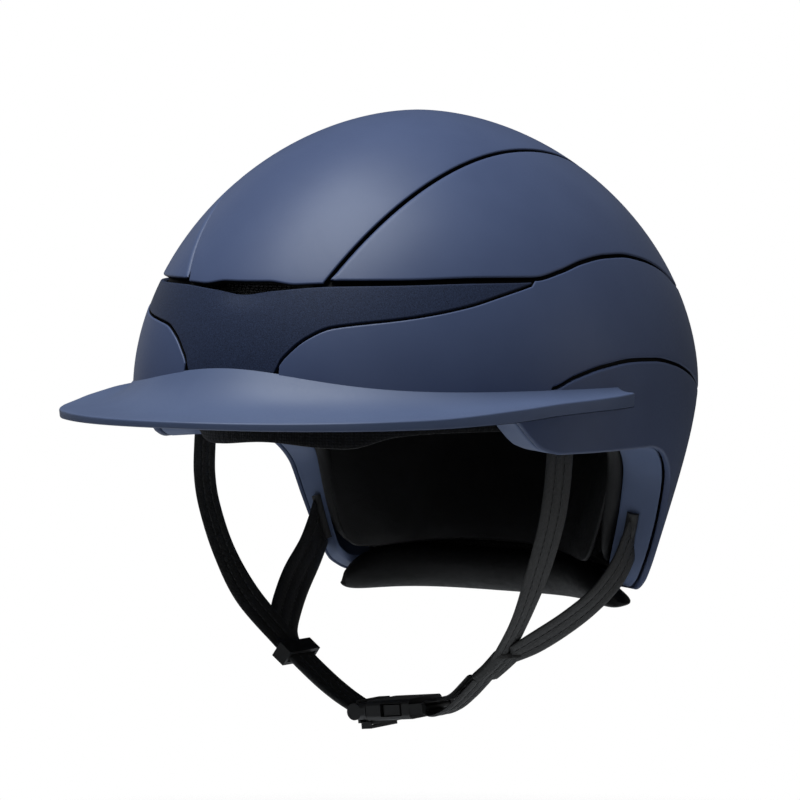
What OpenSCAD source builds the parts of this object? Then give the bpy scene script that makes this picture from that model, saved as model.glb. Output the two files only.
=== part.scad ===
// Equestrian riding helmet: panelled shell, visor brim, lining and chin harness.
// Front is -Y, the wearer's left is +X, up is +Z. The origin is the middle of the head
// opening, at the level where the brim leaves the shell. Millimetres and degrees.

/* [Shell] */
// Widest outside width of the shell
shell_width = 219.4; // [212:0.2:226]
// Distance from the origin to the front of the shell
shell_front = 135.4; // [131:0.2:140]
// Distance from the origin to the back of the shell
shell_back = 139.8; // [135:0.2:145]
// Height of the crown above the origin
crown_height = 117.5; // [112:0.5:122]
// Thickness of the outer panels
panel_thick = 2.7; // [2:0.1:2.8]
// Thickness of the black under-shell
under_thick = 1.7; // [1.2:0.1:1.8]
// Thickness of the foam impact liner
liner_thick = 19.5; // [17:0.5:20]
// Half the width of the seams between panels
seam_half = 0.8; // [0.5:0.1:1.2]

/* [Brim] */
// Reach of the brim from the origin at the front
brim_reach = 180; // [172:1:186]
// Angle from the front at which each end of the brim stops
brim_end = 83.2; // [80:0.1:88]
// Thickness of the brim at its front edge
brim_edge = 3; // [2.5:0.1:4]

/* [Rim] */
// Thickness of the trim that closes the edge of the shell
wrap_thick = 2.4; // [2:0.1:3]
// Depth from the outer surface to the inner edge of that trim, at the front and sides
wrap_depth = 22; // [20:0.5:24]

/* [Harness] */
// Width of the strap webbing
strap_width = 17; // [14:0.5:18]
// Thickness of one layer of webbing
strap_thick = 1.8; // [1.4:0.1:2]
// Length of the buckle's female housing
socket_length = 22.5; // [22:0.5:28]
// Width of the buckle
buckle_width = 25; // [24:0.5:28]
// Height of the buckle
buckle_height = 8.6; // [8.4:0.1:10]

/* [Hidden] */

navy = [0.20, 0.26, 0.38];
light_navy = [0.30, 0.38, 0.54];
band_navy = [0.15, 0.19, 0.30];
black = [0.06, 0.06, 0.07];
webbing = [0.13, 0.13, 0.14];
foam = [0.85, 0.85, 0.86];
steel = [0.6, 0.6, 0.62];

plan_power = 2.08;      // roundness of the shell seen from above
profile_power = 1.87;   // roundness of the shell seen from the side
tuck_power = 1.6;       // how the lower wall bends
tuck_side = 0.144;      // how far it draws in, at the sides
tuck_back = 0.657;      // and at the back
fit_gap = 0.45;         // clearance between pieces that lie on each other

under_depth = panel_thick + fit_gap;
liner_depth = under_depth + under_thick + fit_gap;
pad_depth = liner_depth + liner_thick + 0.8;

// Lower edge of the shell: [angle from the front, height]
rim_line = [[0, -8], [45, -8.3], [54, -9.5], [57.5, -16], [61, -21.5], [66, -23.8], [82, -24],
            [98, -24], [104, -26.5], [108.5, -31.5], [112.5, -40], [115.5, -58], [118.5, -76],
            [121, -85], [126, -89.2], [145, -90], [180, -90]];
// Seam under the upper panels
upper_seam = [[0, 46.6], [31, 46.8], [48, 47.6], [62, 47.4], [70, 50], [80, 54], [90, 55.8],
              [98, 56], [109, 54], [120, 49.7], [129, 43.4], [145, 38.5], [160, 36.5], [180, 36]];
// Seam between the side panels and the lower shell
lower_seam = [[0, 11], [62.6, 3.2], [69, 7.3], [78.5, 11.3], [90, 13.2], [99.3, 12.8], [110, 10.1],
              [120.6, 5.2], [131, -1.1], [150, -12], [165, -17], [180, -18]];
// Top edge of the front band
band_top = [[0, 42], [7, 43.4], [18, 45.2], [31, 45.6], [48, 46.2], [61, 46.2]];
// Lower edge of the front band, from the stem beside the brim out to the tip
band_low = [[9.4, 10.4], [9.9, 14.4], [11.6, 19.3], [14.3, 24.6], [18.6, 29.1], [22.5, 30.4],
            [31.4, 32.5], [37.2, 34.3], [44.7, 37.3], [52.8, 41.6], [61, 45.6]];
// Outline of the brim: [angle from the front, distance from the origin / reach]
brim_plan = [[0, 1], [25, 0.933], [35, 0.875], [45, 0.808], [60, 0.733], [75, 0.689], [88, 0.64]];
// Underside height of the brim's edge, and the thickness of that edge over the front one
brim_low = [[0, -9.6], [20, -10], [35, -9.9], [50, -8.6], [62, -6.5], [74, -5.6], [88, -5.2]];
brim_thicken = [[0, 1], [38, 1.4], [53, 1.75], [65, 1.75], [75, 1.85], [88, 2.1]];

stem_angle = 9.4;       // half the width of the band's stem, as an angle
tip_angle = 61;         // where the band's tips end
seam_angle = 0.5;       // seam clearance across steep edges, as an angle

// ---- curves --------------------------------------------------------------

function mixed(a, b, t) = a + (b - a) * t;
function unit(v) = v / norm(v);
function step_slope(k, i) = (k[i + 1].y - k[i].y) / (k[i + 1].x - k[i].x);
function knot_slope(k, i) =
    k[i].x % 180 == 0 ? 0 : i == 0 ? step_slope(k, 0) : i == len(k) - 1 ? step_slope(k, i - 1) :
    let (a = step_slope(k, i - 1), b = step_slope(k, i)) a * b <= 0 ? 0 : 2 * a * b / (a + b);
function knot_before(k, x) = max([0, for (i = [0 : len(k) - 2]) if (x >= k[i].x) i]);

// Smooth curve through the knots k, without overshoot and level at the midplane
function curve(k, x) =
    let (i = knot_before(k, x), w = k[i + 1].x - k[i].x, t = min(1, max(0, (x - k[i].x) / w)))
    k[i].y * (1 + 2 * t) * pow(1 - t, 2) + k[i + 1].y * t * t * (3 - 2 * t)
    + w * (knot_slope(k, i) * t * pow(1 - t, 2) - knot_slope(k, i + 1) * t * t * (1 - t));

// ---- shell surface -------------------------------------------------------

function plan_radius(u) =
    let (reach = cos(u) > 0 ? shell_front : shell_back)
    pow(pow(abs(sin(u)) / (shell_width / 2), plan_power) + pow(abs(cos(u)) / reach, plan_power),
        -1 / plan_power);
function tuck(u) = mixed(tuck_side, cos(u) > 0 ? 0 : tuck_back, pow(cos(u), 2));
function narrowing(u, z) =
    z > 0 ? pow(1 - pow(z / crown_height, profile_power), 1 / profile_power)
          : 1 - tuck(u) * pow(-z / crown_height, tuck_power);

// Point of the outer surface at an angle from the front and a height
function wall(u, z) =
    let (r = plan_radius(u) * narrowing(u, z)) [r * sin(u), -r * cos(u), z];

// Point of the outer surface in the direction d, for the half above the origin
function dome(d) =
    let (u = atan2(d.x, -d.y),
         k = pow(norm([d.x, d.y]) / plan_radius(u), profile_power)
             + pow(max(0, d.z) / crown_height, profile_power))
    d * pow(k, -1 / profile_power);

function level(p) =
    let (u = atan2(p.x, -p.y), low = p.z < 0 ? narrowing(u, p.z) : 1)
    pow(norm([p.x, p.y]) / (plan_radius(u) * low), profile_power)
    + (p.z > 0 ? pow(p.z / crown_height, profile_power) : 0);
function outward(p) =
    unit([for (e = [[0.2, 0, 0], [0, 0.2, 0], [0, 0, 0.2]]) level(p + e) - level(p - e)]);

// A surface point moved into the shell by a depth
function inset(p, depth) = p - outward(p) * depth;

function rim(u) = curve(rim_line, abs(u));
function brim_top(u) = 2.6 + 0.6 * cos(u) + 8.8 * exp(-pow(u / 22, 2));

// ---- thick sheets --------------------------------------------------------

function is_cell(c, ni, nj, ring, holes) =
    c[1] >= 0 && c[1] < nj && (ring || (c[0] >= 0 && c[0] < ni))
    && len([for (h = holes) if (h == c) h]) == 0;

// Solid between two matching grids of points. Rows run along the sheet and columns up it.
// ring joins the last row to the first; tips closes the top of a ring over two points;
// holes lists cells that stay open.
module sheet(outer, inner, ring = false, tips = [], holes = []) {
    rows = len(outer);
    cols = len(outer[0]);
    under = rows * cols;
    cells_i = ring ? rows : rows - 1;
    cells_j = cols - 1;
    tip = 2 * under;
    function at(i, j) = (i % rows) * cols + j;
    function open(i, j) =
        !is_cell([ring ? (i + rows) % rows : i, j], cells_i, cells_j, ring, holes)
        && !(j == cells_j && len(tips) > 0);
    function lid(a, b, c, d) = [[a, d, c], [a, c, b], [a + under, c + under, d + under],
                                [a + under, b + under, c + under]];
    function side(a, b) = [[a, b, b + under], [a, b + under, a + under]];
    faces = [
        for (i = [0 : cells_i - 1], j = [0 : cells_j - 1])
            if (is_cell([i, j], cells_i, cells_j, ring, holes))
                let (a = at(i, j), b = at(i + 1, j), c = at(i + 1, j + 1), d = at(i, j + 1))
                each [
                    each lid(a, b, c, d),
                    each open(i, j - 1) ? side(a, b) : [],
                    each open(i, j + 1) ? side(c, d) : [],
                    each open(i - 1, j) ? side(d, a) : [],
                    each open(i + 1, j) ? side(b, c) : []
                ],
        if (len(tips) > 0)
            for (i = [0 : cells_i - 1])
                let (a = at(i, cells_j), b = at(i + 1, cells_j))
                each [[a, tip, b], [a + under, b + under, tip + 1]]
    ];
    polyhedron(concat([for (row = outer) each row], [for (row = inner) each row], tips), faces);
}

// Sheet of one thickness whose outer points are given
module skin(points, from_depth, to_depth, ring = false) {
    sheet([for (row = points) [for (p = row) inset(p, from_depth)]],
          [for (row = points) [for (p = row) inset(p, to_depth)]], ring);
}

module both_sides() { children(); mirror([1, 0, 0]) children(); }

// ---- outer panels --------------------------------------------------------

lip_front = 20.2;       // direction of the crown panel's front lip, above the horizontal
lip_back = 164;         // and of its tail, over the top
crown_steps = 26;

// Half the angular width of the crown panel at an angle a along the midline
function crown_half(a) = 28 - 0.0031 * pow(a - 85, 2);
function crown_ray(a, b) = [sin(b), -cos(a) * cos(b), sin(a) * cos(b)];

module crown_panel() {
    color(navy)
    skin([for (j = [0 : 10]) let (s = 1 - j / 5) [for (i = [0 : crown_steps])
             let (t = i / crown_steps,
                  a = mixed(lip_front + 1.6 * s * s, lip_back - 1.2 * s * s, t))
             dome(crown_ray(a, s * (crown_half(a) - 0.35)))]],
         0, panel_thick);
}

upper_steps = 26;
module upper_panel() {
    color(navy)
    skin([for (i = [0 : upper_steps])
            let (t = i / upper_steps,
                 a = mixed(lip_front + 2.6, lip_back - 2.2, t),
                 u = mixed(18.6, 170.5, t),
                 low = unit(wall(u, curve(upper_seam, u) + seam_half)),
                 top = unit(crown_ray(a, crown_half(a) + 0.35)))
            [for (j = [0 : 7]) dome(mixed(low, top, j / 7))]],
         0, panel_thick);
}
module left_upper_panel() { upper_panel(); }
module right_upper_panel() { mirror([1, 0, 0]) upper_panel(); }

band_steps = 48;
module front_band() {
    color(band_navy)
    skin([for (i = [-band_steps / 2 : band_steps / 2])
            let (t = abs(i) / (band_steps / 2), u = tip_angle * pow(t, 1.45),
                 low = u < stem_angle ? brim_top(u) - 2 : curve(band_low, u),
                 top = max(low + 0.6, curve(band_top, u)))
            [for (j = [0 : 4]) wall(sign(i) * u, mixed(low, top, j / 4))]],
         0.3, panel_thick);
}

side_steps = 44;
function side_top(u) =
    u < tip_angle + 3 * seam_angle ? curve(band_low, u - seam_angle) - 2 * seam_half
                                   : curve(upper_seam, u) - seam_half;
function side_low(u) = u < 62.6 ? min(brim_top(u) - 2, side_top(u) - 0.6)
                                : curve(lower_seam, u) + seam_half;
module side_panel() {
    color(navy)
    skin([for (i = [0 : side_steps])
            let (u = mixed(stem_angle + seam_angle + 0.4, 179.6, pow(i / side_steps, 1.25)))
            [for (j = [0 : 5]) wall(u, mixed(side_low(u), side_top(u), j / 5))]],
         0, panel_thick);
}
module left_side_panel() { side_panel(); }
module right_side_panel() { mirror([1, 0, 0]) side_panel(); }

// ---- lower shell and its rim ---------------------------------------------

// Angles round the rim, closer together where the rim line is steep
function rim_angles() = [
    for (u = [-177 : 6 : -132]) u, for (u = [-130 : 2 : -104]) u, for (u = [-100 : 6 : -70]) u,
    for (u = [-66 : 2 : -50]) u, for (u = [-44 : 6 : 44]) u, for (u = [50 : 2 : 66]) u,
    for (u = [70 : 6 : 100]) u, for (u = [104 : 2 : 130]) u, for (u = [132 : 6 : 177]) u
];
function lower_top(u) =
    abs(u) < 62.6 ? brim_top(u) - 4 : curve(lower_seam, abs(u)) - seam_half;

module lower_shell() {
    color(navy)
    skin([for (u = rim_angles())
            [for (j = [0 : 8]) wall(u, mixed(rim(u), lower_top(u), j / 8))]],
         0, panel_thick, ring = true);
}

// How far in the trim reaches: less along the nape, where the padding covers the edge
wrap_share = [[0, 1], [108, 1], [118, 0.82], [128, 0.58], [180, 0.55]];
function wrap_reach(u) = wrap_depth * curve(wrap_share, abs(u));

// Sweep of a rectangle along the rim, from a depth to the trim's inner edge
module rim_ring(depth, lift_a, lift_b) {
    function row(u, lift) =
        let (p = wall(u, rim(u) + lift)) [inset(p, depth), inset(p, wrap_reach(u))];
    low = [for (u = rim_angles()) row(u, lift_a)];
    top = [for (u = rim_angles()) row(u, lift_b)];
    sheet([for (i = [0 : len(low) - 1]) [low[i][0], top[i][0]]],
          [for (i = [0 : len(low) - 1]) [low[i][1], top[i][1]]], ring = true);
}

front_anchor = [91.7, -30, -18];    // where each front strap leaves its anchor bar
rear_anchor = [82.3, 44.5, -60.5];  // and each rear strap

module rim_wrap() {
    color(light_navy)
    difference() {
        rim_ring(panel_thick + 2 * fit_gap, 0, wrap_thick);
        both_sides() {
            translate(front_anchor + [0, 0, -5]) rotate([0, 0, -6])
                cube([4.4, strap_width + 2, 14], center = true);
            translate(rear_anchor + [-0.2, -3, -4.5])
                cube([5.2, 22, 23], center = true);
        }
    }
}

// ---- brim ----------------------------------------------------------------

brim_steps = 60;
function brim_radius(u) = brim_reach * curve(brim_plan, abs(u));
function brim_edge_top(u) = curve(brim_low, abs(u)) + brim_edge * curve(brim_thicken, abs(u));
function cove(s) = 0.14 * s + 0.86 * pow(s, 4);
function brim_point(u, s, drop) =
    let (root = wall(u, drop > 4 ? 0 : brim_top(u)), gap = drop > 4 ? 0.4 : 0.8,
         r = mixed(brim_radius(u), norm([root.x, root.y]) + gap, s),
         z = mixed(brim_edge_top(u), brim_top(u), cove(s)) - drop)
    [r * sin(u), -r * cos(u), z];
// Drop from the upper to the lower surface; the root is a flange that lies on the shell
function brim_drop(u, s) =
    let (edge = brim_edge * curve(brim_thicken, abs(u)), full = brim_top(u) + 6)
    s > 0.93 ? full - (brim_top(u) - mixed(brim_edge_top(u), brim_top(u), cove(s)))
             : edge + 0.6 * s;
module brim() {
    rows = [0, 0.04, 0.15, 0.3, 0.45, 0.6, 0.72, 0.82, 0.89, 0.925, 0.935, 0.97, 1];
    angles = [for (i = [-brim_steps / 2 : brim_steps / 2]) brim_end * 2 * i / brim_steps];
    color(light_navy)
    sheet([for (u = angles) [for (s = rows) brim_point(u, s, s == 0 ? 0.6 : 0)]],
          [for (u = angles) [for (s = rows) brim_point(u, s, brim_drop(u, s) - (s == 0 ? 0.3 : 0))]]);
}

// Four screws from inside the shell into the brim's flange
module brim_screws() {
    color(steel)
    for (u = [-58, -22, 22, 58]) {
        p = wall(u, -2);
        translate(inset(p, panel_thick + under_thick + 2 * fit_gap + 1))
            rotate([0, 0, u]) rotate([90, 0, 0]) {
                cylinder(h = 7, r = 1.5, $fn = 32);
                cylinder(h = 1, r = 3, $fn = 32);
            }
    }
}

// ---- structure under the panels ------------------------------------------

bowl_steps = 48;
bowl_tilts = [0, 8, 16, 24, 35, 47, 60, 74, 85];    // elevations of the bowl's upper rows
bowl_falls = [1, 0.83, 0.66, 0.5, 0.33, 0.17];      // shares of the lower wall below them
bowl_holes = [for (i = [-2 : 1], side = [0, bowl_steps / 2])
                 [(i + side + bowl_steps) % bowl_steps, len(bowl_falls) + 2]];

bowl_lift = wrap_thick + 2.5;                       // gap between the rim line and the foot

// Foot of the bowl over the rim, raised round the strap anchors
function notch(u, mid, wide) = exp(-pow((abs(u) - mid) / wide, 4));
function bowl_foot(u, lift) = rim(u) + lift + 10 * notch(u, 72, 8) + 30 * notch(u, 121, 9);

module bowl(from_depth, to_depth, lift) {
    function column(u, depth) = [
        for (f = bowl_falls) inset(wall(u, bowl_foot(u, lift) * f), depth),
        for (e = bowl_tilts) inset(dome([sin(u) * cos(e), -cos(u) * cos(e), sin(e)]), depth)
    ];
    angles = [for (i = [0 : bowl_steps - 1]) 360 * i / bowl_steps];
    function signed(u) = u > 180 ? u - 360 : u;
    sheet([for (u = angles) column(signed(u), from_depth)],
          [for (u = angles) column(signed(u), to_depth)],
          ring = true,
          tips = [[0, 0, crown_height - from_depth], [0, 0, crown_height - to_depth]],
          holes = bowl_holes);
}

module under_shell() { color(black) bowl(under_depth, under_depth + under_thick, bowl_lift); }
module impact_liner() { color(foam) bowl(liner_depth, liner_depth + liner_thick, bowl_lift); }

// Mesh that closes a vent, set in the foam behind the opening
module vent_mesh(middle) {
    color(black)
    sheet([for (i = [-3 : 3]) let (u = middle + 3.5 * i) [for (z = [38, 41, 44, 47, 50])
              inset(wall(u, z), under_depth + 0.4)]],
          [for (i = [-3 : 3]) let (u = middle + 3.5 * i) [for (z = [38, 41, 44, 47, 50])
              inset(wall(u, z), under_depth + 1.2)]]);
}
module front_vent_mesh() { vent_mesh(0); }
module rear_vent_mesh() { vent_mesh(180); }

// ---- lining --------------------------------------------------------------

// Pad on the inside of the wall: its section is a rounded lens that thins at its edges
module wall_pad(from_u, to_u, steps, low, top, depth, thick) {
    rows = 6;
    function plump(t) = pow(1 - pow(abs(2 * t - 1), 4), 0.5);
    function height(u, j) = mixed(curve(low, abs(u)), curve(top, abs(u)), j / rows);
    angles = [for (i = [0 : steps]) mixed(from_u, to_u, i / steps)];
    function full(i, j) = max(0.25, plump(i / steps) * plump(j / rows));
    color(black)
    sheet([for (i = [0 : steps]) [for (j = [0 : rows])
              inset(wall(angles[i], height(angles[i], j)), depth)]],
          [for (i = [0 : steps]) [for (j = [0 : rows])
              inset(wall(angles[i], height(angles[i], j)), depth + thick * full(i, j))]]);
}

module crown_pad() {
    tilts = [38, 50, 62, 74, 84];
    angles = [for (i = [0 : 35]) 10 * i];
    function column(u, depth) =
        [for (e = tilts) inset(dome([sin(u) * cos(e), -cos(u) * cos(e), sin(e)]), depth)];
    color(black)
    sheet([for (u = angles) column(u, pad_depth)], [for (u = angles) column(u, pad_depth + 5)],
          ring = true, tips = [[0, 0, crown_height - pad_depth], [0, 0, crown_height - pad_depth - 5]]);
}

module brow_pad() {
    wall_pad(-64, 64, 26, [[0, -20], [40, -21], [64, -22]], [[0, 14], [64, 14]], pad_depth, 7.5);
}
module left_side_pad() {
    wall_pad(67, 106, 10, [[67, -20], [106, -18]], [[67, 22], [106, 22]], pad_depth, 6);
}
module right_side_pad() { mirror([1, 0, 0]) left_side_pad(); }
module rear_pad() {
    wall_pad(118, 242, 26, [[118, -62], [126, -86], [140, -91], [180, -94]],
             [[118, -20], [180, -8]], pad_depth, 7);
}

// Padded roll under the nape, from the rim's lower edge in to the rear pad:
// [distance inwards from the rim, height, how much the point drops towards the ends]
nape_section = [[-1.2, -91.8, 1], [3, -93.8, 1], [9, -94.6, 1], [15, -93.8, 0.9], [20.5, -91, 0.7],
                [24.5, -86.5, 0.5], [25.4, -82, 0.5], [24, -79.2, 0.5], [19.5, -79, 0.8],
                [14.5, -80, 1.2], [9.5, -82.6, 1.4], [5, -86.2, 1.2]];
module nape_pad() {
    steps = 26;
    middle = [11, -87.2];
    function ring_at(i) =
        let (u = mixed(122.5, 237.5, i / steps), t = 1 - 2 * i / steps,
             swell = pow(max(0.06, 1 - pow(abs(t), 12)), 0.5), fall = 4 * pow(t, 6),
             base = wall(u, -92))
        [for (k = nape_section)
            let (a = mixed(middle.x, k.x, swell), z = mixed(middle.y, k.y, swell) - fall * k.z)
            [base.x - a * sin(u), base.y + a * cos(u), z]];
    color(black) tube_of([for (i = [0 : steps]) ring_at(i)]);
}

// Solid through a list of matching rings, closed by a flat fan at each end
module tube_of(rings) {
    n = len(rings[0]);
    last = len(rings) - 1;
    faces = [
        for (i = [0 : last - 1], k = [0 : n - 1])
            let (a = i * n + k, b = i * n + (k + 1) % n, c = a + n, d = b + n)
            each [[a, b, d], [a, d, c]],
        for (k = [1 : n - 2]) each [[0, k + 1, k], [last * n, last * n + k, last * n + k + 1]]
    ];
    polyhedron([for (r = rings) each r], faces);
}

// ---- harness -------------------------------------------------------------

// Smooth line through points chosen by hand
function spline(p, t) =
    let (n = len(p) - 1, x = min(n - 0.0001, t * n), i = floor(x), f = x - i,
         a = p[max(0, i - 1)], b = p[i], c = p[i + 1], d = p[min(n, i + 2)])
    0.5 * (2 * b + (c - a) * f + (2 * a - 5 * b + 4 * c - d) * f * f
           + (3 * b - 3 * c + d - a) * f * f * f);

// Flat webbing along a path; across gives the width's direction at each path point
module ribbon(path, across, steps, width = strap_width, thick = strap_thick) {
    rings = [for (i = [0 : steps])
        let (t = i / steps, p = spline(path, t),
             run = unit(spline(path, min(1, t + 0.01)) - spline(path, max(0, t - 0.01))),
             w0 = spline(across, t), w = unit(w0 - run * (w0 * run)), n = cross(run, w))
        [for (c = [[-1, -1], [1, -1], [1, 1], [-1, 1]])
            p + w * c.x * width / 2 + n * c.y * thick / 2]];
    color(webbing) tube_of(rings);
}

module front_strap() {
    ribbon([[91.7, -30, -18], [91.9, -31, -27], [91.2, -32.2, -41], [88.4, -32.2, -55],
            [81.5, -31, -74], [71.5, -27.5, -93], [57.2, -20.8, -111.2]],
           [[0.1, 1, -0.1], [0.1, 1, -0.1], [0.1, 1, -0.05], [0.1, 1, 0], [0.1, 1, 0.1],
            [0.05, 1, 0.25], [0.12, 1, 0.25]], 14);
}
module rear_strap() {
    ribbon([[82.3, 44.5, -60.5], [81.9, 40, -68], [81, 31.5, -79], [78.2, 17.5, -90], [73, 4.5, -98.4],
            [66.5, -7.5, -105.4], [58.4, -16.8, -111.3]],
           [[-0.1, 0.9, -0.35], [-0.1, 0.85, -0.5], [-0.15, 0.7, -0.7], [-0.3, 0.65, -0.7],
            [-0.35, 0.65, -0.7], [-0.35, 0.7, -0.65], [-0.12, 0.95, -0.25]], 16);
}
module left_front_strap() { front_strap(); }
module right_front_strap() { mirror([1, 0, 0]) front_strap(); }
module left_rear_strap() { rear_strap(); }
module right_rear_strap() { mirror([1, 0, 0]) rear_strap(); }

module strap_anchor_bars() {
    color(steel)
    both_sides() {
        translate(front_anchor + [0, 0, 2.4]) rotate([0, 0, 8]) rotate([90, 0, 0])
            cylinder(h = 19, r = 1.6, center = true, $fn = 32);
        translate(rear_anchor + [0, 1.2, 2.4]) rotate([-21, 0, 0]) rotate([90, 0, 0])
            cylinder(h = 12, r = 1.4, center = true, $fn = 32);
    }
}

// The left Y is sewn: a short doubled patch holds both straps
junction = [51, -19.5, -116.8];
module left_sewn_patch() {
    ribbon([[59.5, -19.3, -110], [53, -19.4, -116.2], [47.6, -19.6, -120.6]],
           [[0.2, 1, 0.05], [0.12, 1, 0.05], [0.05, 1, 0]], 4, strap_width + 1.6, 4.4);
}

// Buckle frame: +X from the clip to the socket, tilted up a little towards the left
buckle_seat = [-4.5, -20, -138.1];
buckle_tilt = -6.6;
module at_buckle() { translate(buckle_seat) rotate([0, buckle_tilt, 0]) children(); }

// Left chin strap: down to the socket's bar, round it and back
module left_chin_strap() {
    ribbon([[47, -19.6, -121.8], [43, -19.8, -126.8], [38, -20, -132.6], [31.5, -20, -137.4],
            [23.3, -20, -138.3], [19.6, -20, -135.3], [23.4, -20, -131.5], [29, -20, -129.4],
            [35.5, -20, -126.6], [40.5, -19.8, -122.9], [44.4, -19.6, -119.8]],
           [for (i = [0 : 10]) [0, 1, 0]], 34, strap_width - 0.5, 1.4);
}

// Right chin strap: two layers from the slider to the clip, sewn together along their length
module right_chin_strap() {
    ribbon([[-53.6, -19.5, -114.9], [-49.5, -19.5, -118.1], [-42, -19.6, -123.6],
            [-34, -19.8, -129], [-26.5, -20, -133.4], [-21, -20, -136.2], [-16, -20, -138.4]],
           [for (i = [0 : 6]) [0, 1, 0]], 14, strap_width, 3.2);
}

slider_angle = 36;      // fall of the doubled strap towards the clip
module strap_slider() {
    color(black)
    translate([-51, -19.5, -117]) rotate([0, slider_angle, 0])
    difference() {
        cube([7, strap_width + 4.6, 7.4], center = true);
        cube([9, strap_width + 1, 4.4], center = true);
    }
}

wall_t = 1.5;           // wall of the buckle housing
mouth_w = 21;           // width inside the housing
mouth_h = 5.4;          // height inside it
window_from = 7.5;      // side windows for the prongs
window_to = 18.5;

module buckle_socket() {
    color(black)
    at_buckle() difference() {
        union() {
            rounded_box([0, socket_length], buckle_width, buckle_height);
            translate([socket_length - 1, 0, 0]) bar_frame();
        }
        translate([-1, -mouth_w / 2, -mouth_h / 2]) cube([socket_length - 1, mouth_w, mouth_h]);
        for (s = [-1, 1])
            translate([window_from, s * buckle_width / 2 - 3, -mouth_h / 2])
                cube([window_to - window_from, 6, mouth_h]);
    }
}
// Box along X with its long edges rounded
module rounded_box(span, width, height) {
    r = 2.2;
    translate([span.x, 0, 0]) rotate([90, 0, 90]) linear_extrude(span.y - span.x) union() {
        square([width - 2 * r, height], center = true);
        square([width, height - 2 * r], center = true);
        for (y = [-1, 1], z = [-1, 1])
            translate([y * (width / 2 - r), z * (height / 2 - r)]) circle(r, $fn = 32);
    }
}
bar_reach = 7.5;
module bar_frame() {
    for (s = [-1, 1]) translate([0, s * (buckle_width / 2 - 1.6) - 1.5, -2.2])
        cube([bar_reach, 3, 4.4]);
    translate([bar_reach - 1.8, 0, 0]) rotate([90, 0, 0])
        cylinder(h = buckle_width - 3, r = 1.4, center = true, $fn = 32);
}

// Clip: base with a rounded end, a centre guide blade and two webbing slots
base_length = 10;
base_half = 3.6;            // half the height of the base
clip_slots = [-6.8, -2.6];   // the two slots that the webbing passes through
module buckle_clip() {
    color(black)
    at_buckle() {
        difference() {
            union() {
                rounded_box([-base_length + base_half, -0.4], buckle_width, 2 * base_half);
                translate([-base_length + base_half, 0, 0]) rotate([90, 0, 0])
                    cylinder(h = buckle_width, r = base_half, center = true, $fn = 48);
            }
            for (x = clip_slots)
                translate([x - 1.2, -strap_width / 2 - 0.5, -buckle_height])
                    cube([2.4, strap_width + 1, 2 * buckle_height]);
        }
        translate([-0.5, -3.5, -1.6]) cube([17.5, 7, 3.2]);
    }
}

// Sprung prong: an arm with a barbed head whose button fills the side window
module prong(side) {
    color(black)
    at_buckle() scale([1, side, 1]) {
        translate([-0.1, 6.2, -2]) cube([8.6, 2.4, 4]);
        translate([8.3, 6.2, -2.2]) linear_extrude(4.4)
            polygon([[0, 0], [9.6, 0], [9.6, 2.4], [8.9, 5.8], [0.8, 5.8], [0, 4.6]]);
    }
}
module front_prong() { prong(-1); }
module rear_prong() { prong(1); }

// Tail of the webbing: through the clip's slots and back under the buckle
module strap_tail() {
    color(webbing)
    at_buckle() {
        for (x = clip_slots) translate([x, 0, -0.4]) cube([1.4, strap_width, 9.8], center = true);
        translate([-4.7, 0, 4.1]) cube([5.6, strap_width, 0.8], center = true);
        translate([0.2, 0, -5.3]) cube([7, strap_width, 1.2], center = true);
    }
}
module tail_keeper() {
    color(black)
    at_buckle() translate([-2.6, 0, -6.2]) difference() {
        cube([5, strap_width + 2.4, 3], center = true);
        translate([0, 0, 1.3]) cube([7, strap_width + 0.8, 3.4], center = true);
    }
}

crown_panel();
left_upper_panel();
right_upper_panel();
front_band();
left_side_panel();
right_side_panel();
lower_shell();
brim();
brim_screws();
under_shell();
impact_liner();
front_vent_mesh();
rear_vent_mesh();
rim_wrap();
crown_pad();
brow_pad();
left_side_pad();
right_side_pad();
rear_pad();
nape_pad();
strap_anchor_bars();
left_front_strap();
right_front_strap();
left_rear_strap();
right_rear_strap();
left_sewn_patch();
left_chin_strap();
right_chin_strap();
strap_slider();
buckle_socket();
buckle_clip();
front_prong();
rear_prong();
strap_tail();
tail_keeper();
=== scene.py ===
"""Equestrian riding helmet: the visual model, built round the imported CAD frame.

Front is -Y, the wearer's left is +X, up is +Z. Shapes are worked out in millimetres and
degrees with the CAD's own curves, and turned into metres when each mesh is made.
"""

import math

import bmesh
import bpy
import numpy as np
from mathutils import Matrix, Vector


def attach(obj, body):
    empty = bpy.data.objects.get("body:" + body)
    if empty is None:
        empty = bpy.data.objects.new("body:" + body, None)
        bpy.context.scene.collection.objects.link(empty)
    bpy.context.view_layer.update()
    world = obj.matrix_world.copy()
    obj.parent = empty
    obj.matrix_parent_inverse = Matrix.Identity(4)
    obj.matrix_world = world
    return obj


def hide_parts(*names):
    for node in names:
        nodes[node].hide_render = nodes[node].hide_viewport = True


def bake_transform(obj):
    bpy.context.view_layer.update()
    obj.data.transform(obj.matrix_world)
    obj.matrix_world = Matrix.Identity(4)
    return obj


MM = 0.001
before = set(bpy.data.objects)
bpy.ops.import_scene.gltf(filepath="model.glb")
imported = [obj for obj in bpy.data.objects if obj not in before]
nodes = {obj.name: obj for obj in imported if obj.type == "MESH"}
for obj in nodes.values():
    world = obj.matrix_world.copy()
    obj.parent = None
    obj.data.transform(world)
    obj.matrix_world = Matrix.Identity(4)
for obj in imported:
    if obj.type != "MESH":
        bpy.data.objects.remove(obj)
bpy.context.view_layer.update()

# ---- camera, light and floor ------------------------------------------------


CAMERA_TURN, CAMERA_RISE = 35.07, 3.25
CAMERA_AWAY, CAMERA_LEFT, CAMERA_DOWN = 1.6424, 0.00787, 0.00689
CAMERA_SENSOR, CAMERA_LENS = 36, 172.2


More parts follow.
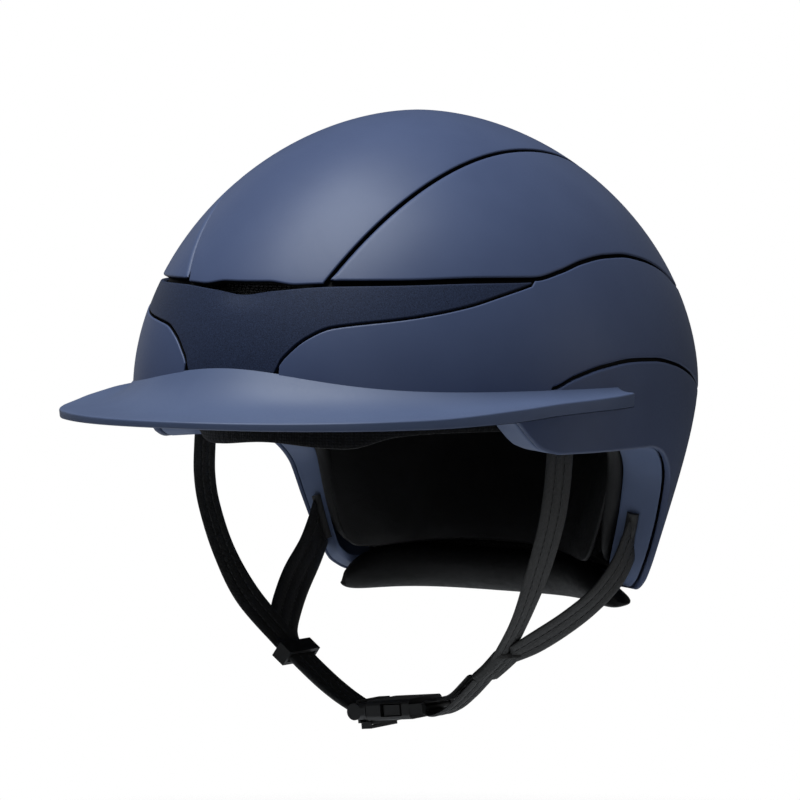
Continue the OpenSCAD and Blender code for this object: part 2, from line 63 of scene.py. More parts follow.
def make_camera():
    az, el = math.radians(CAMERA_TURN), math.radians(CAMERA_RISE)
    back = Vector((math.sin(az) * math.cos(el), -math.cos(az) * math.cos(el), math.sin(el)))
    right = Vector((math.cos(az), math.sin(az), 0))
    up = back.cross(right)
    data = bpy.data.cameras.new("camera")
    data.sensor_width = CAMERA_SENSOR
    data.lens = CAMERA_LENS
    data.clip_start, data.clip_end = 0.05, 60
    cam = bpy.data.objects.new("camera", data)
    bpy.context.scene.collection.objects.link(cam)
    place = back * CAMERA_AWAY - right * CAMERA_LEFT - up * CAMERA_DOWN
    cam.matrix_world = Matrix((
        (right.x, up.x, back.x, place.x), (right.y, up.y, back.y, place.y),
        (right.z, up.z, back.z, place.z), (0, 0, 0, 1)))
    bpy.context.scene.camera = cam


def softbox(name, place, target, size, watts, colour=(1, 1, 1)):
    data = bpy.data.lights.new(name, "AREA")
    data.shape, data.size, data.size_y = "RECTANGLE", size[0], size[1]
    data.energy, data.color = watts, colour
    lamp = bpy.data.objects.new(name, data)
    bpy.context.scene.collection.objects.link(lamp)
    lamp.location = place
    lamp.rotation_euler = (Vector(target) - Vector(place)).to_track_quat("-Z", "Y").to_euler()
    lamp.visible_camera = False


def make_light():
    world = bpy.data.worlds.new("studio")
    bpy.context.scene.world = world
    world.use_nodes = True
    tree = world.node_tree
    tree.nodes.clear()
    out = tree.nodes.new("ShaderNodeOutputWorld")
    mix = tree.nodes.new("ShaderNodeMixShader")
    seen = tree.nodes.new("ShaderNodeBackground")
    lit = tree.nodes.new("ShaderNodeBackground")
    path = tree.nodes.new("ShaderNodeLightPath")
    seen.inputs[0].default_value = (1, 1, 1, 1)
    seen.inputs[1].default_value = 1.0
    lit.inputs[0].default_value = (0.97, 0.985, 1, 1)
    lit.inputs[1].default_value = 0.05
    tree.links.new(path.outputs["Is Camera Ray"], mix.inputs[0])
    tree.links.new(lit.outputs[0], mix.inputs[1])
    tree.links.new(seen.outputs[0], mix.inputs[2])
    tree.links.new(mix.outputs[0], out.inputs[0])
    middle = (0, 0, 0)
    softbox("top_box", (-0.08, -0.4, 1.2), middle, size=(1.0, 1.0), watts=23,
            colour=(0.9, 0.95, 1))
    softbox("right_box", (1.4, 0.9, 0.1), middle, size=(0.5, 1.4), watts=1.8)
    softbox("left_box", (-1.3, 0.6, 0.2), middle, size=(0.5, 1.2), watts=0.4)
    softbox("front_box", (0.9, -1.4, 0.1), (0, 0, -0.03), size=(1.0, 0.7), watts=0.95)
    bpy.context.scene.view_settings.view_transform = "Standard"
    bpy.context.scene.view_settings.look = "None"


FLOOR_RADIUS, FLOOR_HEIGHT = 5, -0.32
FLOOR_FADE = (0.25, 0.9)


def make_floor():
    """A pale disc well below the object; it fades out far away and isn't seen from below."""
    bm = bmesh.new()
    bmesh.ops.create_circle(bm, cap_ends=True, segments=96, radius=FLOOR_RADIUS)
    mesh = bpy.data.meshes.new("floor")
    bm.to_mesh(mesh)
    bm.free()
    floor = bpy.data.objects.new("floor", mesh)
    bpy.context.scene.collection.objects.link(floor)
    floor.location = (0, 0, FLOOR_HEIGHT)
    mat = bpy.data.materials.new("floor")
    mat.use_nodes = True
    tree = mat.node_tree
    tree.nodes.clear()
    out = tree.nodes.new("ShaderNodeOutputMaterial")
    clear = tree.nodes.new("ShaderNodeBsdfTransparent")
    pale = tree.nodes.new("ShaderNodeBsdfDiffuse")
    pale.inputs[0].default_value = (0.93, 0.93, 0.93, 1)
    mix = tree.nodes.new("ShaderNodeMixShader")
    side = tree.nodes.new("ShaderNodeMixShader")
    geo = tree.nodes.new("ShaderNodeNewGeometry")
    coord = tree.nodes.new("ShaderNodeTexCoord")
    far = tree.nodes.new("ShaderNodeVectorMath")
    far.operation = "LENGTH"
    ramp = tree.nodes.new("ShaderNodeMapRange")
    ramp.inputs[1].default_value, ramp.inputs[2].default_value = FLOOR_FADE
    tree.links.new(coord.outputs["Object"], far.inputs[0])
    tree.links.new(far.outputs["Value"], ramp.inputs[0])
    tree.links.new(ramp.outputs[0], mix.inputs[0])
    tree.links.new(pale.outputs[0], mix.inputs[1])
    tree.links.new(clear.outputs[0], mix.inputs[2])
    tree.links.new(geo.outputs["Backfacing"], side.inputs[0])
    tree.links.new(mix.outputs[0], side.inputs[1])
    tree.links.new(clear.outputs[0], side.inputs[2])
    tree.links.new(side.outputs[0], out.inputs[0])
    mesh.materials.append(mat)


make_camera()
make_light()
make_floor()

# ---- the CAD's curves and surface -------------------------------------------

SHELL_WIDTH, SHELL_FRONT, SHELL_BACK, CROWN = 219.4, 135.4, 139.8, 117.5
PANEL, UNDER, LINER, SEAM = 2.7, 1.7, 19.5, 0.8
PLAN_POWER, PROFILE_POWER = 2.08, 1.87
TUCK_POWER, TUCK_SIDE, TUCK_BACK = 1.6, 0.144, 0.657
FIT = 0.45
BRIM_REACH, BRIM_END, BRIM_EDGE = 180, 83.2, 3
WRAP_THICK, WRAP_DEPTH = 2.4, 22
UNDER_DEPTH = PANEL + FIT
LINER_DEPTH = UNDER_DEPTH + UNDER + FIT
PAD_DEPTH = LINER_DEPTH + LINER + 0.8
SEAM_START = 62.6

RIM_LINE = [[0, -8], [45, -8.3], [54, -9.5], [57.5, -16], [61, -21.5], [66, -23.8], [82, -24],
            [98, -24], [104, -26.5], [108.5, -31.5], [112.5, -40], [115.5, -58], [118.5, -76],
            [121, -85], [126, -89.2], [145, -90], [180, -90]]
UPPER_SEAM = [[0, 46.6], [31, 46.8], [48, 47.6], [62, 47.4], [70, 50], [80, 54], [90, 55.8],
              [98, 56], [109, 54], [120, 49.7], [129, 43.4], [145, 38.5], [160, 36.5], [180, 36]]
LOWER_SEAM = [[0, 11], [62.6, 3.2], [69, 7.3], [78.5, 11.3], [90, 13.2], [99.3, 12.8], [110, 10.1],
              [120.6, 5.2], [131, -1.1], [150, -12], [165, -17], [180, -18]]
BAND_TOP = [[0, 42], [7, 43.4], [18, 45.2], [31, 45.6], [48, 46.2], [61, 46.2]]
BAND_LOW = [[9.4, 10.4], [9.9, 14.4], [11.6, 19.3], [14.3, 24.6], [18.6, 29.1], [22.5, 30.4],
            [31.4, 32.5], [37.2, 34.3], [44.7, 37.3], [52.8, 41.6], [61, 45.6]]
BRIM_PLAN = [[0, 1], [25, 0.933], [35, 0.875], [45, 0.808], [60, 0.733], [75, 0.689], [88, 0.64]]
BRIM_LOW = [[0, -9.6], [20, -10], [35, -9.9], [50, -8.6], [62, -6.5], [74, -5.6], [88, -5.2]]
BRIM_THICKEN = [[0, 1], [38, 1.4], [53, 1.75], [65, 1.75], [75, 1.85], [88, 2.1]]
WRAP_SHARE = [[0, 1], [108, 1], [118, 0.82], [128, 0.58], [180, 0.55]]
STEM, TIP = 9.4, 61


def curve(knots, x):
    """Smooth curve through given knots, without overshoot and level at the midplane."""
    k = np.array(knots, float)
    x = np.clip(np.abs(np.asarray(x, float)), k[0, 0], k[-1, 0])
    step = np.diff(k[:, 1]) / np.diff(k[:, 0])
    slope = np.concatenate([[step[0]], np.zeros(len(k) - 2), [step[-1]]])
    for i in range(1, len(k) - 1):
        if step[i - 1] * step[i] > 0:
            slope[i] = 2 * step[i - 1] * step[i] / (step[i - 1] + step[i])
    slope[k[:, 0] % 180 == 0] = 0
    i = np.clip(np.searchsorted(k[:, 0], x, side="right") - 1, 0, len(k) - 2)
    w = k[i + 1, 0] - k[i, 0]
    t = (x - k[i, 0]) / w
    return (k[i, 1] * (1 + 2 * t) * (1 - t) ** 2 + k[i + 1, 1] * t * t * (3 - 2 * t)
            + w * (slope[i] * t * (1 - t) ** 2 - slope[i + 1] * t * t * (1 - t)))


def sin(a):
    return np.sin(np.radians(a))


def cos(a):
    return np.cos(np.radians(a))


def unit(v):
    return v / np.linalg.norm(v, axis=-1, keepdims=True)


def mixed(a, b, t):
    return a + (b - a) * t


def smooth(a, b, x):
    t = np.clip((x - a) / (b - a), 0, 1)
    return t * t * (3 - 2 * t)


def plan_radius(u):
    reach = np.where(cos(u) > 0, SHELL_FRONT, SHELL_BACK)
    return ((np.abs(sin(u)) / (SHELL_WIDTH / 2)) ** PLAN_POWER
            + (np.abs(cos(u)) / reach) ** PLAN_POWER) ** (-1 / PLAN_POWER)


def narrowing(u, z):
    tuck = mixed(TUCK_SIDE, np.where(cos(u) > 0, 0, TUCK_BACK), cos(u) ** 2)
    high = np.clip(z / CROWN, 0, 1)
    return np.where(z > 0, (1 - high ** PROFILE_POWER) ** (1 / PROFILE_POWER),
                    1 - tuck * np.clip(-z / CROWN, 0, None) ** TUCK_POWER)


def wall(u, z):
    u, z = np.broadcast_arrays(np.asarray(u, float), np.asarray(z, float))
    r = plan_radius(u) * narrowing(u, z)
    return np.stack([r * sin(u), -r * cos(u), z], -1)


def dome(d):
    d = np.asarray(d, float)
    u = np.degrees(np.arctan2(d[..., 0], -d[..., 1]))
    k = ((np.linalg.norm(d[..., :2], axis=-1) / plan_radius(u)) ** PROFILE_POWER
         + (np.maximum(0, d[..., 2]) / CROWN) ** PROFILE_POWER)
    return d * (k ** (-1 / PROFILE_POWER))[..., None]


def level(p):
    u = np.degrees(np.arctan2(p[..., 0], -p[..., 1]))
    low = np.where(p[..., 2] < 0, narrowing(u, np.minimum(p[..., 2], 0)), 1)
    return ((np.linalg.norm(p[..., :2], axis=-1) / (plan_radius(u) * low)) ** PROFILE_POWER
            + (np.maximum(p[..., 2], 0) / CROWN) ** PROFILE_POWER)


def outward(p):
    e = np.eye(3) * 0.2
    return unit(np.stack([level(p + e[k]) - level(p - e[k]) for k in range(3)], -1))


def inset(p, depth):
    return p - outward(p) * np.asarray(depth)[..., None]


def rim(u):
    return curve(RIM_LINE, u)


def brim_top(u):
    return 2.6 + 0.6 * cos(u) + 8.8 * np.exp(-(np.asarray(u) / 22) ** 2)


# ---- mesh making ------------------------------------------------------------


def slab(outer, inner, ring=False, tips=None, holes=None, uv=None):
    """Closed solid between two matching grids of points, as (points, faces, uv, inner flags)."""
    n, m = outer.shape[:2]
    points = np.concatenate([outer.reshape(-1, 3), inner.reshape(-1, 3)])
    under = n * m
    rows = n if ring else n - 1
    solid = np.ones((rows, m - 1), bool) if holes is None else ~holes
    at = lambda i, j: (i % n) * m + j
    faces, inside = [], []

    def there(i, j):
        if j < 0 or j >= m - 1:
            return tips is not None and j >= m - 1
        if ring:
            return solid[i % n, j]
        return 0 <= i < rows and solid[i, j]

    for i in range(rows):
        for j in range(m - 1):
            if not solid[i, j]:
                continue
            a, b, c, d = at(i, j), at(i + 1, j), at(i + 1, j + 1), at(i, j + 1)
            faces += [(a, d, c, b), (a + under, b + under, c + under, d + under)]
            inside += [0, 1]
            for near, e, f in ((there(i, j - 1), a, b), (there(i, j + 1), c, d),
                               (there(i - 1, j), d, a), (there(i + 1, j), b, c)):
                if not near:
                    faces.append((e, f, f + under, e + under))
                    inside.append(1)
    if tips is not None:
        points = np.concatenate([points, np.array(tips, float)])
        for i in range(rows):
            a, b = at(i, m - 1), at(i + 1, m - 1)
            faces += [(a, 2 * under, b), (a + under, b + under, 2 * under + 1)]
            inside += [0, 1]
    if uv is not None:
        flat = uv.reshape(-1, 2)
        uv = np.concatenate([flat, flat])
    return points, faces, uv, inside


def tube(rings, uv=None):
    """Solid through matching closed rings, closed by a flat face at each end."""
    rings = np.asarray(rings, float)
    n, m = rings.shape[:2]
    faces = [(i * m + k, i * m + (k + 1) % m, (i + 1) * m + (k + 1) % m, (i + 1) * m + k)
             for i in range(n - 1) for k in range(m)]
    faces += [tuple(range(m))[::-1], tuple((n - 1) * m + k for k in range(m))]
    return rings.reshape(-1, 3), faces, None if uv is None else uv.reshape(-1, 2), None


def make(name, chunks, materials, body, node, sharp=35, index=None):
    """One object from chunks of (points in mm, faces, uv, inner flags).

    Each chunk has its own material, chosen by index where it is given. A single slab with
    two materials has the second on its inner faces.
    """
    points, faces, which, uvs, base = [], [], [], [], 0
    inner_skin = index is None and len(chunks) == 1 and len(materials) > 1
    for n, (p, f, uv, inside) in enumerate(chunks):
        points.append(p)
        faces += [tuple(int(v) + base for v in q) for q in f]
        which += inside if inner_skin else [n if index is None else index[n]] * len(f)
        uvs.append(uv if uv is not None else p[:, :2])
        base += len(p)
    mesh = bpy.data.meshes.new(name)
    mesh.from_pydata((np.concatenate(points) * MM).tolist(), [], faces)
    for m in materials:
        mesh.materials.append(m)
    mesh.polygons.foreach_set("material_index", np.array(which, np.int32))
    layer = mesh.uv_layers.new(name="UVMap")
    loops = np.empty(len(mesh.loops), np.int32)
    mesh.loops.foreach_get("vertex_index", loops)
    layer.data.foreach_set("uv", (np.concatenate(uvs) * MM)[loops].astype(np.float32).ravel())
    bm = bmesh.new()
    bm.from_mesh(mesh)
    bmesh.ops.recalc_face_normals(bm, faces=bm.faces)
    bm.to_mesh(mesh)
    bm.free()
    mesh.shade_smooth()
    mesh.set_sharp_from_angle(angle=math.radians(sharp))
    obj = bpy.data.objects.new(name, mesh)
    bpy.context.scene.collection.objects.link(obj)
    if body:
        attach(obj, body)
    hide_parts(node)
    return obj


LIP_STEPS = np.array([0, 0.03, 0.12, 0.27, 0.5, 0.75, 1.0])


def steps(count, length, lip):
    """Shares 0 to 1 along a length, closer together within a lip of each end."""
    lip = np.minimum(lip, 0.4 * np.asarray(length, float))
    near = LIP_STEPS * (lip / length)[..., None]
    span = 1 - 2 * near[..., -1:]
    middle = near[..., -1:] + span * np.arange(1, count) / count
    return np.concatenate([near, middle, 1 - near[..., ::-1]], -1)


def rolled(distance, wide, deep):
    """How far an edge has rolled under, at a distance from it."""
    t = np.clip(1 - distance / wide, 0, 1)
    return deep * (1 - np.sqrt(np.maximum(0, 1 - t * t)))


def mirrored(chunk):
    p, f, uv, inside = chunk
    return p * [-1, 1, 1], [q[::-1] for q in f], uv, inside


CORNER_SHARE, THINNEST = 0.35, 0.15


def panel_chunk(point, count, lips, from_depth=0.0, relief=None):
    """Outer panel from point(s, t).

    lips are (width, depth) of the rolled edges at s 0, s 1, t 0 and t 1. relief(p) pushes
    the outer face in where the real panel has a hollow.
    """
    probe = np.linspace(0, 1, 33)
    grid = point(probe[:, None], probe[None, :])
    run = np.linalg.norm(np.diff(grid, axis=0), axis=-1).sum(0)
    rise = np.linalg.norm(np.diff(grid, axis=1), axis=-1).sum(1)
    length = float(run.max())
    s = steps(count[0], np.array(length), max(lips[0][0], lips[1][0]))
    high = np.interp(s, probe, rise)
    t = steps(count[1], high, max(lips[2][0], lips[3][0]))
    p = point(s[:, None], t)
    along = s[:, None] * length + 0 * t
    drop = [rolled(along, *lips[0]), rolled(length - along, *lips[1])]
    for far, (wide, deep) in ((t * high[:, None], lips[2]), ((1 - t) * high[:, None], lips[3])):
        room = np.minimum(1, 0.42 * high / wide)[:, None]
        drop.append(rolled(far, wide * room, deep * room))
    most = np.max(drop, axis=0)
    drop = most + CORNER_SHARE * (np.sum(drop, axis=0) - most)
    if relief is not None:
        drop = np.maximum(drop, relief(p))
    drop = np.minimum(drop, PANEL - from_depth - THINNEST)
    return slab(inset(p, from_depth + drop), inset(p, PANEL))


# ---- materials --------------------------------------------------------------


class Shader:
    """A small helper round one Principled material."""

    def __init__(self, name, rough, **sockets):
        self.mat = bpy.data.materials.new(name)
        self.mat.use_nodes = True
        self.tree = self.mat.node_tree
        self.bsdf = self.tree.nodes["Principled BSDF"]
        self.bsdf.inputs["Roughness"].default_value = rough
        for key, value in sockets.items():
            self.bsdf.inputs[key.replace("_", " ")].default_value = value
        self.where = self.tree.nodes.new("ShaderNodeTexCoord")
        self.height = None

    def node(self, kind, **values):
        n = self.tree.nodes.new(kind)
        for key, value in values.items():
            if hasattr(n, key):
                setattr(n, key, value)
            else:
                n.inputs[key.replace("_", " ")].default_value = value
        return n

    def link(self, a, b):
        self.tree.links.new(a, b)

    def noise(self, size_mm, detail, space="Object", stretch=None, distortion=0.0):
        n = self.node("ShaderNodeTexNoise", Scale=1 / (size_mm * MM), Detail=detail,
                      Distortion=distortion)
        self.link(self.spot(space, stretch), n.inputs["Vector"])
        return n.outputs["Fac"]

    def spot(self, space, stretch):
        if stretch is None:
            return self.where.outputs[space]
        m = self.node("ShaderNodeMapping")
        m.inputs["Scale"].default_value = stretch
        self.link(self.where.outputs[space], m.inputs["Vector"])
        return m.outputs["Vector"]

    def cells(self, size_mm, feature, space="Object", randomness=1.0):
        n = self.node("ShaderNodeTexVoronoi", feature=feature, Scale=1 / (size_mm * MM),
                      Randomness=randomness)
        self.link(self.where.outputs[space], n.inputs["Vector"])
        return n.outputs["Distance"]

    def ramp(self, value, low, high, to_low=0.0, to_high=1.0):
        n = self.node("ShaderNodeMapRange")
        for k, v in enumerate((low, high, to_low, to_high)):
            n.inputs[k + 1].default_value = v
        self.link(value, n.inputs[0])
        return n.outputs[0]

    def colour(self, value, low, high):
        n = self.node("ShaderNodeMix", data_type="RGBA")
        n.inputs[6].default_value = (*low, 1)
        n.inputs[7].default_value = (*high, 1)
        self.link(value, n.inputs[0])
        self.link(n.outputs[2], self.bsdf.inputs["Base Color"])

    def rough(self, value, low, high):
        self.link(self.ramp(value, 0.25, 0.75, low, high), self.bsdf.inputs["Roughness"])

    def bump(self, value, depth_mm, strength):
        n = self.node("ShaderNodeBump")
        n.inputs["Strength"].default_value = strength
        n.inputs["Distance"].default_value = depth_mm * MM
        self.link(value, n.inputs["Height"])
        if self.height is not None:
            self.link(self.height, n.inputs["Normal"])
        self.height = n.outputs["Normal"]
        self.link(self.height, self.bsdf.inputs["Normal"])


def soft_touch(name, low, high, rough, shine=0.3):
    """Matte soft-touch lacquer: faint orange peel, fine grain and slow colour drift."""
    s = Shader(name, rough, Specular_IOR_Level=shine, Sheen_Weight=0.04, Sheen_Roughness=0.45)
    s.colour(s.ramp(s.noise(38, 3), 0.35, 0.65), low, high)
    s.rough(s.noise(1.3, 4), rough - 0.035, rough + 0.035)
    s.bump(s.noise(2.6, 2), 0.012, 0.6)
    s.bump(s.noise(0.22, 2), 0.010, 0.55)
    return s.mat


def band_cloth():
    """Fine suede-like insert: dark, with light and dark specks."""
    s = Shader("band_suede", 0.62, Specular_IOR_Level=0.14, Sheen_Weight=0.06, Sheen_Roughness=0.5)
    speck = s.noise(0.42, 3)
    s.colour(s.ramp(speck, 0.3, 0.72), (0.007, 0.011, 0.026), (0.026, 0.040, 0.088))
    s.rough(s.noise(0.6, 3), 0.5, 0.68)
    s.bump(speck, 0.07, 0.8)
    s.bump(s.noise(6, 3), 0.05, 0.5)
    return s.mat


def black_plastic(name="black_plastic", tone=0.016, rough=0.42, shine=0.5):
    s = Shader(name, rough, Specular_IOR_Level=shine)
    s.colour(s.noise(9, 3), (tone * 0.8,) * 3, (tone * 1.25, tone * 1.25, tone * 1.32))
    s.rough(s.noise(0.5, 3), rough - 0.06, rough + 0.08)
    s.bump(s.noise(0.18, 2), 0.012, 0.7)
    return s.mat


def foam_beads():
    s = Shader("foam_beads", 0.8, Specular_IOR_Level=0.35)
    edge = s.cells(3.4, "DISTANCE_TO_EDGE")
    s.colour(s.ramp(edge, 0.0, 0.25), (0.012, 0.012, 0.014), (0.038, 0.038, 0.042))
    s.rough(s.noise(1.2, 3), 0.7, 0.9)
    s.bump(s.ramp(edge, 0.0, 0.22), 0.25, 0.9)
    return s.mat


def knit(name, low, high, pitch=1.15):
    """Spacer knit: a small honeycomb of raised loops."""
    s = Shader(name, 0.85, Specular_IOR_Level=0.2, Sheen_Weight=0.12, Sheen_Roughness=0.5)
    loop = s.cells(pitch, "F1", randomness=0.35)
    s.colour(s.ramp(loop, 0.15, 0.6), high, low)
    s.rough(s.noise(0.8, 3), 0.75, 0.95)
    s.bump(s.ramp(loop, 0.1, 0.65, 1, 0), 0.28, 0.9)
    s.bump(s.noise(14, 3), 0.5, 0.5)
    return s.mat


def leatherette(name, dark, pale, shine):
    s = Shader(name, 0.42, Specular_IOR_Level=shine)
    grain = s.cells(0.62, "DISTANCE_TO_EDGE")
    s.colour(s.noise(18, 4), (dark, dark, dark * 1.06), (pale, pale, pale * 1.06))
    s.rough(s.noise(2.2, 4), 0.38, 0.54)
    s.bump(s.ramp(grain, 0.0, 0.16), 0.05, 0.75)
    s.bump(s.noise(11, 3, distortion=0.6), 0.9, 0.45)
    return s.mat


def strap_skin():
    """Coated webbing: pebbled face, its tone varying a little with a fine noise."""
    s = Shader("strap_skin", 0.55, Specular_IOR_Level=0.5)
    pebble = s.cells(0.55, "SMOOTH_F1", "UV")
    s.colour(s.ramp(s.noise(0.9, 3, "UV"), 0.3, 0.7), (0.016, 0.016, 0.016), (0.034, 0.034, 0.034))
    s.rough(s.noise(1.4, 3, "UV"), 0.46, 0.64)
    s.bump(s.ramp(pebble, 0.05, 0.6, 1, 0), 0.14, 0.9)
    return s.mat


def thread():
    s = Shader("thread", 0.7, Specular_IOR_Level=0.4, Sheen_Weight=0.3)
    s.colour(s.noise(0.5, 2), (0.018, 0.018, 0.018), (0.045, 0.045, 0.046))
    s.bump(s.noise(0.15, 2), 0.03, 0.7)
    return s.mat


def steel():
    s = Shader("steel", 0.34, Metallic=1.0)
    s.colour(s.noise(2.0, 3), (0.42, 0.42, 0.43), (0.6, 0.6, 0.61))
    s.rough(s.noise(0.4, 3, stretch=(1, 8, 1)), 0.26, 0.42)
    s.bump(s.noise(0.2, 2, stretch=(1, 10, 1)), 0.01, 0.6)
    return s.mat


NAVY = soft_touch("shell_lacquer", (0.060, 0.083, 0.162), (0.067, 0.092, 0.176), 0.43)
BRIM_NAVY = soft_touch("brim_rubber", (0.076, 0.104, 0.190), (0.084, 0.114, 0.204), 0.46, 0.35)
WRAP_NAVY = soft_touch("rim_rubber", (0.108, 0.146, 0.256), (0.120, 0.160, 0.274), 0.55)
BAND = band_cloth()
BLACK = black_plastic()
# Near-black inner skin: the under-shell's own black made darker still; on the panels' cut edges in
# the seams it is painted shade.
UNDER_BLACK_SEAM_SHADE = black_plastic("under_black_seam_shade", 0.003, 0.6, 0.2)
# Near-black vent guard: the guard's own black made darker still, as painted shade inside the vent.
VENT_SHADE_BLACK = black_plastic("guard_black_vent_shade", 0.0015, 0.7, 0.1)
FOAM = foam_beads()
KNIT = knit("lining_knit", (0.0025, 0.0025, 0.003), (0.009, 0.009, 0.0095))
NET = knit("net_fabric", (0.003, 0.003, 0.0035), (0.014, 0.014, 0.015), 2.2)
HIDE = leatherette("leatherette", 0.012, 0.022, 0.35)
# Darker copy of the rear pad's leatherette for the nape roll: painted shade on the underside of
# the roll.
NAPE_HIDE_PAINTED_SHADE = leatherette("nape_leatherette_painted_shade", 0.0025, 0.005, 0.12)
STRAP = strap_skin()
THREAD = thread()
STEEL = steel()

# ---- outer panels -----------------------------------------------------------


CROWN_START, CROWN_STOP = 20.2, 164
CROWN_HALF, CROWN_TAPER, CROWN_WIDEST = 28, 0.0031, 85
HALF_SEAM = 0.35


def crown_half(a):
    """Half the crown panel's width, in degrees, at an angle over the top from the front."""
    return CROWN_HALF - CROWN_TAPER * (a - CROWN_WIDEST) ** 2


def crown_ray(a, b):
    return np.stack([sin(b), -cos(a) * cos(b), sin(a) * cos(b)], -1)


def lip_rise(b):
    """The front lip lifts over the vent in the middle."""
    return 1 - smooth(4.5, 10.5, np.abs(b))


def crown_point(s, t):
    """Crown panel: s runs from the front lip to the back, t from the right seam to the left."""
    side = 2 * t - 1
    front = CROWN_START + 1.6 * side ** 2 + 0.85 * lip_rise(side * crown_half(CROWN_START))
    a = mixed(front, CROWN_STOP - 1.2 * side ** 2, s)
    return dome(crown_ray(a, side * (crown_half(a) - HALF_SEAM)))


def upper_point(s, t):
    """Left upper panel: s runs from front to back, t from the upper seam to the crown's."""
    a = mixed(22.8, 161.8, s)
    u = mixed(18.6, 170.5, s)
    low = unit(wall(u, curve(UPPER_SEAM, u) + SEAM))
    top = unit(crown_ray(a, crown_half(a) + HALF_SEAM))
    return dome(mixed(low, top, np.asarray(t)[..., None]))


def band_point(s, t):
    """Front band with its stem and pointed tips: s runs from tip to tip, t upwards."""
    side = 2 * s - 1
    u = TIP * np.abs(side) ** 1.45
    low = np.where(u < STEM, brim_top(u) - 2, curve(BAND_LOW, u))
    top = np.maximum(low + 0.6, curve(BAND_TOP, u))
    return wall(np.sign(side) * u, mixed(low, top, t))


def side_point(s, t):
    """Left side panel: s runs from the band's stem to the back, t upwards."""
    u = mixed(STEM + 0.9, 179.6, s ** 1.25)
    top = np.where(u < TIP + 0.5, curve(BAND_LOW, u - 0.4) - 1.1 * SEAM,
                   curve(UPPER_SEAM, u) - SEAM)
    low = np.where(u < SEAM_START, np.minimum(brim_top(u) - 2, top - 0.6),
                   curve(LOWER_SEAM, u) + SEAM)
    return wall(u, mixed(low, top, t))


def scoop(p):
    """Soft hollow in the band under the vent."""
    return 1.5 * np.exp(-(p[..., 0] / 11) ** 2 - ((p[..., 2] - 43) / 5) ** 2)


def make_panels():
    ledge, lip = (2.3, 1.25), (0.7, 0.55)
    # Panel undersides and cut edges take the near-black inner skin; on the edges in the seams it
    # is painted shade.
    skins = [NAVY, UNDER_BLACK_SEAM_SHADE]
    make("crown_cover", [panel_chunk(crown_point, (110, 40), (lip, lip, lip, lip))],
         skins, "helmet", "crown_panel")
    upper = panel_chunk(upper_point, (110, 26), (lip, lip, lip, ledge))
    make("left_upper_cover", [upper], skins, "helmet", "left_upper_panel")
    make("right_upper_cover", [mirrored(upper)], skins, "helmet", "right_upper_panel")
    band = panel_chunk(band_point, (150, 22), ((0.5, 0.5), (0.5, 0.5), (0.6, 0.6), (0.8, 0.7)),
                       from_depth=0.3, relief=scoop)
    make("band_cover", [band], [BAND], "helmet", "front_band")
    side = panel_chunk(side_point, (150, 22), (lip, (0.7, 0.7), (0.9, 0.8), lip))
    make("left_side_cover", [side], skins, "helmet", "left_side_panel")
    make("right_side_cover", [mirrored(side)], skins, "helmet", "right_side_panel")


make_panels()

# ---- lower shell, rim wrap, brim --------------------------------------------


STEEP_RIM = ((50, 68), (102, 132))


def rim_angles():
    """Angles round the rim, closer together where the rim line is steep."""
    fine = [np.arange(a, b, 0.5) for a, b in STEEP_RIM]
    rest = [u for u in np.arange(0, 180, 1.5) if not any(a <= u < b for a, b in STEEP_RIM)]
    half = np.sort(np.concatenate([*fine, rest]))
    return np.concatenate([-half[:0:-1], half, [180]])


def make_lower_shell():
    u = rim_angles()
    top = np.where(np.abs(u) < SEAM_START, brim_top(u) - 4, curve(LOWER_SEAM, u) - SEAM)
    low = rim(u)
    high = top - low
    t = steps(16, high, 1.6)
    p = wall(u[:, None], low[:, None] + t * high[:, None])
    from_low, from_top = t * high[:, None], (1 - t) * high[:, None]
    bead = rolled(from_low, 1.35, 1.3)
    lip = np.where(np.abs(u)[:, None] < 62, 0, rolled(from_top, 0.9, 0.8))
    outer = inset(p, np.maximum(bead, lip))
    inner = inset(p, PANEL - bead)
    make("lower_cover", [slab(outer, inner, ring=True)], [NAVY], "helmet", "lower_shell")


WRAP_LEAN = np.array([1, 1, 0.999])


def make_wrap():
    """Moulded trim across the edge of the shell: rounded outer bead, flat web, turned-up lip."""
    u = rim_angles()
    reach = WRAP_DEPTH * curve(WRAP_SHARE, u)
    start = PANEL + 2 * FIT
    share = np.array([0, 0.01, 0.03, 0.06, 0.1, 0.2, 0.3, 0.4, 0.47, 0.5, 0.54, 0.6, 0.66, 0.72,
                      0.76, 0.85, 0.92, 0.97, 1.0])
    wide = (reach - start)[:, None]
    depth = start + share * wide
    inner_curl = 1.3 * smooth(0.72, 1.0, share) ** 2
    low = rolled(share * wide, 1.1, 1.0) + rolled((1 - share) * wide, 0.8, 0.7) + inner_curl
    high = WRAP_THICK - rolled(share * wide, 0.7, 0.6) - rolled((1 - share) * wide, 0.6, 0.4)
    high = np.maximum(high + inner_curl * 0.5, low + 0.5)
    edge = wall(u, rim(u))[:, None, :]
    flat = edge - outward(edge) * WRAP_LEAN * depth[..., None]
    below = flat + [0, 0, 1] * low[..., None]
    above = flat + [0, 0, 1] * high[..., None]
    angle, across = np.abs(mixed(u, np.roll(u, -1), 0.5)), mixed(share[1:], share[:-1], 0.5)
    front_slot = ((angle > 66) & (angle < 78))[:, None] & (across > 0.54) & (across < 0.76)
    rear_slot = ((angle > 115.5) & (angle < 118.6))[:, None] & (across > 0.47) & (across < 0.74)
    make("rim_trim", [slab(below, above, ring=True, holes=front_slot | rear_slot)], [WRAP_NAVY],
         "helmet", "rim_wrap", sharp=50)


def brim_radius(u):
    return BRIM_REACH * curve(BRIM_PLAN, u)


def cove(s):
    """How far the brim's top has risen from its edge (0) to its root (1)."""
    return 0.14 * s + 0.86 * s ** 4


BRIM_ROOT, BRIM_NOSE, BRIM_HEEL, BRIM_FLANGE = -0.2, 0.8, 0.8, 0.925


